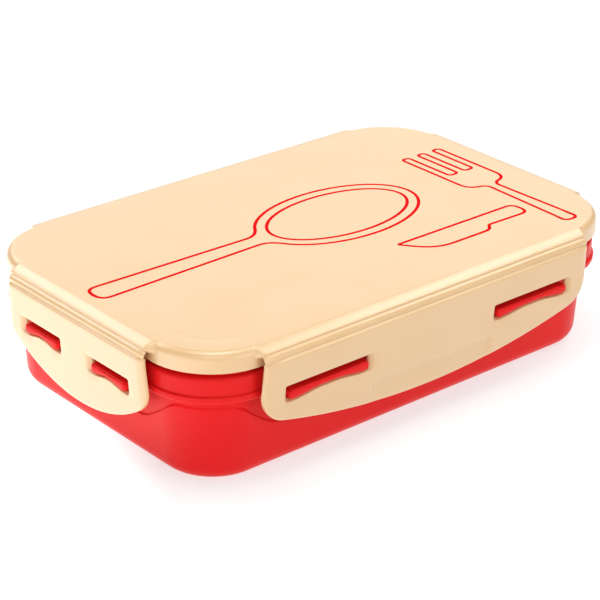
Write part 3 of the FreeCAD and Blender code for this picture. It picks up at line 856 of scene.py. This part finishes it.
# corners of the plain outlines, each with how far it is cut back; the handle and the fork lie about
# their own middle line
SPOON_MIDDLE = 1.5
BOWL_CENTRE = (16.0, SPOON_MIDDLE)
BOWL_RADII = (36.0, 22.0)
BOWL_NECK_ANGLE = 160
BOWL_RIM = 4.5
SPOON_HANDLE = [(-21.5, -3.4, 4.0), (-96.0, -5.0, 4.6), (-96.0, 5.0, 4.6), (-21.5, 3.4, 4.0)]
FORK_MIDDLE = 81.0
FORK_STEM = [(3.2, -57.0, 2.8), (2.0, -14.0, 3.0), (10.0, -12.0, 5.0)]
FORK_TINES = [(10.0, 25.5, 1.7), (6.4, 25.5, 1.7), (6.4, 2.0, 1.8), (1.8, 2.0, 1.8), (1.8, 25.5, 1.7)]
KNIFE_BLADE = [(14.0, -33.5, 1.2), (23.0, -45.0, 8.0), (50.0, -45.0, 2.4)]
KNIFE_HANDLE = [(52.5, -41.5, 1.2), (73.0, -42.0, 3.6), (73.0, -33.5, 3.6)]


def rounded(corners):
    """A closed path through corners (x, y, cut), each cut back on both sides and joined by a bend."""
    points = []
    for n, (*corner, cut) in enumerate(corners):
        corner = Vector(corner)
        before = Vector(corners[n - 1][:2])
        after = Vector(corners[(n + 1) % len(corners)][:2])
        start = corner + (before - corner).normalized() * cut
        end = corner + (after - corner).normalized() * cut
        for step in range(BEND_COUNT + 1 if cut else 1):
            share = step / BEND_COUNT
            points.append(start.lerp(corner, share).lerp(corner.lerp(end, share), share))
    return points


def outline(build, points):
    """A thin raised line of even width round a closed path."""
    rows = []
    for n, spot in enumerate(points):
        run = points[(n + 1) % len(points)] - points[n - 1]
        across = Vector((-run.y, run.x)).normalized() * LINE / 2
        left, right = spot + across, spot - across
        low = LID_TOP - PRINT_DEPTH
        rows.append([(*left, LID_TOP), (*right, LID_TOP), (*right, low), (*left, low)])
    build.loft([*rows, rows[0]], closed=True)


def print_spoon(build):
    """A plain spoon along the lid: an oval bowl with its rim, and a bar for a handle."""
    around = arc_points(BOWL_CENTRE, BOWL_RADII, BOWL_NECK_ANGLE, -BOWL_NECK_ANGLE, 48)
    bowl = [(*spot, 0) for spot in around]
    handle = [(x, SPOON_MIDDLE + y, cut) for x, y, cut in SPOON_HANDLE]
    outline(build, rounded(bowl + handle))
    inner = [radius - BOWL_RIM for radius in BOWL_RADII]
    outline(build, [Vector(spot) for spot in arc_points(BOWL_CENTRE, inner, 0, 360, 56)[1:]])


def print_fork(build):
    """A plain fork across the lid: a bar for a handle, a square head and three tines."""
    half = FORK_STEM + FORK_TINES
    whole = half + [(-x, y, cut) for x, y, cut in reversed(half)]
    outline(build, rounded([(FORK_MIDDLE + x, y, cut) for x, y, cut in whole]))


def print_knife(build):
    """A plain knife beside the fork, with a straight back."""
    outline(build, rounded(KNIFE_BLADE + KNIFE_HANDLE))


def make_print(material):
    """Plain outlines of a spoon, a fork and a knife, a hair proud of the lid."""
    build = Builder()
    print_spoon(build)
    print_fork(build)
    print_knife(build)
    make_object("cutlery_print", build, material, "lid", None)


# ---------------------------------------------------------------- materials

MOTTLE_SCALE = 38
MOTTLE_RANGE = (0.3, 0.7)
MOTTLE_SHARE = 0.14
# how the painted sheen follows the view, and how much of the pale colour it adds at most
FACING_BLEND = 0.25
SHEEN_SHARE = 0.3
GRAIN_SCALE = 1400
GRAIN_DEPTH = 0.0001
ROUGHER, SMOOTHER = 0.05, 0.04
PLASTIC_IOR = 1.49
COAT_ROUGHNESS = 0.33
COAT_IOR = 1.6


def plastic(name, base, pale, roughness, grain, gloss, coat):
    """Moulded satin plastic: faint flow mottling, a fine grain, and a painted sheen that makes it paler
    where it is seen edge on.
    """
    material = bpy.data.materials.new(name)
    material.use_nodes = True
    nodes = material.node_tree.nodes
    links = material.node_tree.links
    shader = nodes["Principled BSDF"]
    place = nodes.new("ShaderNodeTexCoord")

    mottle = nodes.new("ShaderNodeTexNoise")
    mottle.inputs["Scale"].default_value = MOTTLE_SCALE
    mottle.inputs["Detail"].default_value = 3
    links.new(place.outputs["Object"], mottle.inputs["Vector"])
    tone = nodes.new("ShaderNodeMapRange")
    tone.inputs["From Min"].default_value, tone.inputs["From Max"].default_value = MOTTLE_RANGE
    tone.inputs["To Min"].default_value = 0.0
    tone.inputs["To Max"].default_value = MOTTLE_SHARE
    links.new(mottle.outputs["Fac"], tone.inputs["Value"])

    # a painted sheen: the colour is blended towards the pale one where the surface is seen edge on, on
    # top of the mottling
    facing = nodes.new("ShaderNodeLayerWeight")
    facing.inputs["Blend"].default_value = FACING_BLEND
    edge = nodes.new("ShaderNodeMath")
    edge.operation = "MULTIPLY_ADD"
    edge.inputs[1].default_value = SHEEN_SHARE
    links.new(facing.outputs["Facing"], edge.inputs[0])
    links.new(tone.outputs["Result"], edge.inputs[2])

    colour = nodes.new("ShaderNodeMix")
    colour.data_type = "RGBA"
    colour.inputs["A"].default_value = (*base, 1)
    colour.inputs["B"].default_value = (*pale, 1)
    links.new(edge.outputs["Value"], colour.inputs["Factor"])
    links.new(colour.outputs["Result"], shader.inputs["Base Color"])

    fine = nodes.new("ShaderNodeTexNoise")
    fine.inputs["Scale"].default_value = GRAIN_SCALE
    fine.inputs["Detail"].default_value = 2
    links.new(place.outputs["Object"], fine.inputs["Vector"])
    bump = nodes.new("ShaderNodeBump")
    bump.inputs["Strength"].default_value = grain
    bump.inputs["Distance"].default_value = GRAIN_DEPTH
    links.new(fine.outputs["Fac"], bump.inputs["Height"])
    links.new(bump.outputs["Normal"], shader.inputs["Normal"])
    shine = nodes.new("ShaderNodeMapRange")
    shine.inputs["To Min"].default_value = roughness - SMOOTHER
    shine.inputs["To Max"].default_value = roughness + ROUGHER
    links.new(mottle.outputs["Fac"], shine.inputs["Value"])
    links.new(shine.outputs["Result"], shader.inputs["Roughness"])
    shader.inputs["IOR"].default_value = PLASTIC_IOR
    shader.inputs["Specular IOR Level"].default_value = gloss
    shader.inputs["Coat Weight"].default_value = coat
    shader.inputs["Coat Roughness"].default_value = COAT_ROUGHNESS
    shader.inputs["Coat IOR"].default_value = COAT_IOR
    return material


# each plastic's second colour is the pale one that the mottling and the painted sheen blend towards
CREAM = plastic("cream_plastic", (0.765, 0.485, 0.225), (0.88, 0.69, 0.46), 0.4, 0.05, 0.5, 1.0)
RED = plastic("red_plastic", (0.77, 0.008, 0.012), (0.88, 0.05, 0.02), 0.36, 0.05, 0.13, 0.0)
PRINT = plastic("print_red", (0.68, 0.0, 0.002), (0.7, 0.002, 0.004), 0.6, 0.0, 0.03, 0.0)
SEAL = plastic("seal_silicone", (0.78, 0.76, 0.7), (0.9, 0.88, 0.84), 0.5, 0.1, 0.4, 0.0)


def paint(node, material):
    """Gives a CAD node its material."""
    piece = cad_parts[node]
    piece.data.materials.clear()
    piece.data.materials.append(material)


# ---------------------------------------------------------------- stage

FLOOR_HALF = 4.0
FLOOR_GREY = 0.36
FLOOR_GLOW = 0.66
LEFT_GLOW = 1.6
# a painted pool of light: the glow grows with the distance across the floor, left twice as fast as back,
# between these
GLOW_LEFTWARD = -2
GLOW_RANGE = (0.15, 0.25)


def make_floor():
    """A pale sheet that glows a little, and more on the left of the box, where the extra glow is a
    painted pool of light.
    """
    mesh = bpy.data.meshes.new("floor")
    corners = [(x * FLOOR_HALF, y * FLOOR_HALF, 0) for x, y in ((-1, -1), (1, -1), (1, 1), (-1, 1))]
    mesh.from_pydata(corners, [], [(0, 1, 2, 3)])
    floor = bpy.data.objects.new("floor", mesh)
    bpy.context.scene.collection.objects.link(floor)
    material = bpy.data.materials.new("floor")
    material.use_nodes = True
    nodes = material.node_tree.nodes
    links = material.node_tree.links
    shader = nodes["Principled BSDF"]
    shader.inputs["Base Color"].default_value = (FLOOR_GREY, FLOOR_GREY, FLOOR_GREY, 1)
    shader.inputs["Roughness"].default_value = 0.95
    shader.inputs["Specular IOR Level"].default_value = 0.1
    shader.inputs["Emission Color"].default_value = (1, 1, 1, 1)
    place = nodes.new("ShaderNodeTexCoord")
    split = nodes.new("ShaderNodeSeparateXYZ")
    leftward = nodes.new("ShaderNodeMath")
    leftward.operation = "MULTIPLY_ADD"
    leftward.inputs[1].default_value = GLOW_LEFTWARD
    # the painted pool of light: emission that rises towards the left of the box
    glow = nodes.new("ShaderNodeMapRange")
    glow.interpolation_type = "SMOOTHSTEP"
    glow.inputs["From Min"].default_value, glow.inputs["From Max"].default_value = GLOW_RANGE
    glow.inputs["To Min"].default_value = FLOOR_GLOW
    glow.inputs["To Max"].default_value = LEFT_GLOW
    links.new(place.outputs["Object"], split.inputs["Vector"])
    links.new(split.outputs["X"], leftward.inputs[0])
    links.new(split.outputs["Y"], leftward.inputs[2])
    links.new(leftward.outputs["Value"], glow.inputs["Value"])
    links.new(glow.outputs["Result"], shader.inputs["Emission Strength"])
    mesh.materials.append(material)


def add_light(name, place, size, power):
    """A softbox that faces the middle of the box."""
    data = bpy.data.lights.new(name, "AREA")
    data.shape = "RECTANGLE"
    data.size, data.size_y = size
    data.energy = power
    light = bpy.data.objects.new(name, data)
    light.location = place
    middle = Vector((0, 0, LID_TOP * MM / 2))
    light.rotation_euler = (middle - Vector(place)).to_track_quat("-Z", "Y").to_euler()
    bpy.context.scene.collection.objects.link(light)


# every light: its place and size in metres, and its power in watts
LIGHTS = {
    "overhead": ((-0.06, -0.1, 0.95), (0.42, 0.42), 4.0),
    "behind": ((0.65, 0.75, 0.45), (1.2, 0.6), 2.5),
    "right_strip": ((0.6, -0.12, 0.78), (0.85, 0.3), 4.2),
    "back_strip": ((-0.2, 0.7, 0.7), (0.85, 0.3), 4.2),
    "left": ((-1.0, -0.1, 0.35), (0.6, 0.6), 1.2),
    "front": ((0.1, -1.0, 0.35), (0.6, 0.6), 2.9),
    "near": ((-0.55, -0.6, 0.55), (0.4, 0.4), 1.6),
}
WORLD_STRENGTH = 0.03


def make_lights():
    """A softbox above, one behind, three round the near sides, and two strips for the shoulders."""
    for name, (place, size, power) in LIGHTS.items():
        add_light(name, place, size, power)
    world = bpy.data.worlds.new("studio")
    world.use_nodes = True
    world.node_tree.nodes["Background"].inputs["Color"].default_value = (1, 1, 1, 1)
    world.node_tree.nodes["Background"].inputs["Strength"].default_value = WORLD_STRENGTH
    bpy.context.scene.world = world
    bpy.context.scene.view_settings.view_transform = "Standard"


# the camera's angles, its place and its lens
AZIMUTH, ELEVATION, ROLLED = -40.787, 25.630, 0.689
CAMERA_PLACE = (-478.57, -550.66, 371.5)
SENSOR_WIDTH = 36
FOCAL_LENGTH = 129.4


def make_camera():
    """The viewpoint: turned left, looking down, and rolled a little."""
    azimuth, elevation, roll = (math.radians(angle) for angle in (AZIMUTH, ELEVATION, ROLLED))
    level = math.cos(elevation)
    back = Vector((math.sin(azimuth) * level, -math.cos(azimuth) * level, math.sin(elevation)))
    right = Vector((math.cos(azimuth), math.sin(azimuth), 0))
    up = back.cross(right)
    turned_right = right * math.cos(roll) + up * math.sin(roll)
    turned_up = up * math.cos(roll) - right * math.sin(roll)
    data = bpy.data.cameras.new("camera")
    data.sensor_width = SENSOR_WIDTH
    data.lens = FOCAL_LENGTH
    camera = bpy.data.objects.new("camera", data)
    pose = Matrix((turned_right, turned_up, back)).transposed().to_4x4()
    pose.translation = Vector(CAMERA_PLACE) * MM
    camera.matrix_world = pose
    bpy.context.scene.collection.objects.link(camera)
    bpy.context.scene.camera = camera


# ---------------------------------------------------------------- the whole box

make_camera()
make_lights()
make_floor()
make_container(RED)
make_lid(CREAM)
make_print(PRINT)
for side in SIDES:
    make_flap(side, CREAM)
    make_web(side, CREAM)
    for number in (1, 2):
        make_tab(side, number, RED)
paint("seal", SEAL)
